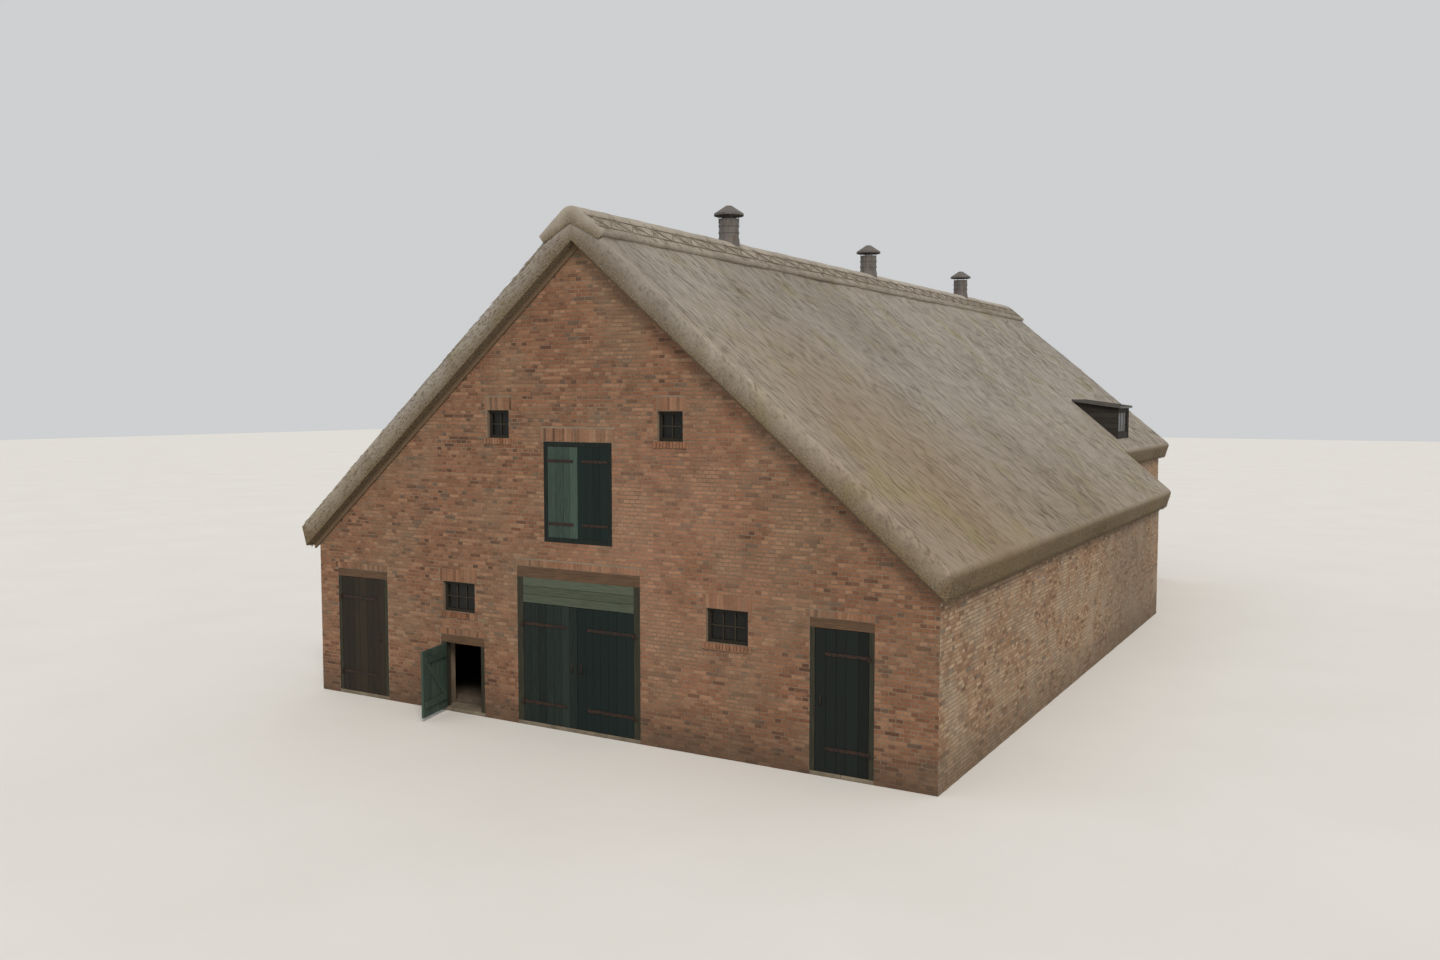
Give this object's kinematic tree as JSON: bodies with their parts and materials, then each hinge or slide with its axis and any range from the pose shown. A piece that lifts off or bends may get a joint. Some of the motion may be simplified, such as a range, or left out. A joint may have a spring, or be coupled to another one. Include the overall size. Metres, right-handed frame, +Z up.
{
  "type": "thatched brick farm barn",
  "caption": "Long brick farm barn under a steep thatched roof, with hinged barn, side and low doors in its wide gable, a hay door above and a narrower rear part.",
  "frame": {"origin": "on the ground below the middle of the plan", "axes": "+X to the right along the front gable, +Y from the front gable to the rear along the ridge, +Z up"},
  "size_m": [12.5632, 23.4008, 9.0723],
  "materials": {
    "brick": "weathered brown-red brickwork with lime joints",
    "floor_brick": "trodden floor and thresholds",
    "oak": "dark weathered oak",
    "thatch": "grey-brown weathered reed thatch with patches of moss",
    "ridge": "pale ridge covering of packed straw",
    "dark_boards": "tarred boards",
    "ventilator_metal": "dull grey painted sheet",
    "iron": "rusty black wrought iron",
    "barn_green": "dark green painted boards",
    "worn_green": "faded grey-green painted boards",
    "brown_boards": "brown-black boards",
    "sash_paint": "old paint",
    "glass": "dusty panes"
  },
  "bodies": {
    "house": {"left_corner_pier": "brick", "front_left_lower_walls": "brick", "front_left_upper_wall": "brick", "front_right_wall": "brick", "right_corner_pier": "brick", "front_door_heads": "brick", "front_gable_left": "brick", "front_gable_right": "brick", "front_gable_middle": "brick", "left_side_wall": "brick", "right_side_wall": "brick", "left_shoulder_wall": "brick", "right_shoulder_wall": "brick", "left_rear_wall": "brick", "right_rear_wall": "brick", "rear_gable_wall": "brick", "rear_gable_top": "brick", "floor": "floor_brick", "rear_floor": "floor_brick", "thresholds": "floor_brick", "wall_plates": "oak", "frame_posts": "oak", "tie_beams": "oak", "tenon_wedges": "oak", "post_braces": "oak", "purlins": "oak", "left_rafters": "oak", "right_rafters": "oak", "door_posts": "oak", "door_lintels": "oak", "hay_door_frame": "oak", "barn_thatch_left": "thatch", "barn_thatch_right": "thatch", "rear_thatch_left": "thatch", "rear_thatch_right": "thatch", "ridge_cap": "ridge", "barge_boards": "dark_boards", "dormer_cheeks": "dark_boards", "dormer_front": "dark_boards", "dormer_roof": "dark_boards", "ventilator_pipes": "ventilator_metal", "ventilator_hoods": "ventilator_metal", "hinge_pins": "iron", "barn_head_panel": "worn_green", "hay_door_leaves": "worn_green", "window_frames": "sash_paint", "window_glass": "glass"},
    "left_door": {"left_door_leaf": "brown_boards", "left_door_hinges": "iron"},
    "low_door": {"low_door_leaf": "worn_green", "low_door_hinges": "iron"},
    "barn_door_left": {"barn_leaf_left": "barn_green", "barn_leaf_left_hinges": "iron"},
    "barn_door_right": {"barn_leaf_right": "barn_green", "barn_leaf_right_hinges": "iron"},
    "right_door": {"right_door_leaf": "barn_green", "right_door_hinges": "iron"}
  },
  "joints": [
    {"name": "left_door_hinge", "type": "hinge", "parent": "house", "child": "left_door", "pos_m": [-5.46, -11.217, 0], "axis": [0, 0, -1], "range_deg": [0, 165]},
    {"name": "low_door_hinge", "type": "hinge", "parent": "house", "child": "low_door", "pos_m": [-2.95, -11.217, 0], "axis": [0, 0, -1], "range_deg": [-76, 87]},
    {"name": "barn_door_left_hinge", "type": "hinge", "parent": "house", "child": "barn_door_left", "pos_m": [-1.2, -11.217, 0], "axis": [0, 0, -1], "range_deg": [0, 165]},
    {"name": "barn_door_right_hinge", "type": "hinge", "parent": "house", "child": "barn_door_right", "pos_m": [1.01, -11.217, 0], "axis": [0, 0, 1], "range_deg": [0, 165]},
    {"name": "right_door_hinge", "type": "hinge", "parent": "house", "child": "right_door", "pos_m": [4.975, -11.217, 0], "axis": [0, 0, 1], "range_deg": [0, 165]}
  ]
}
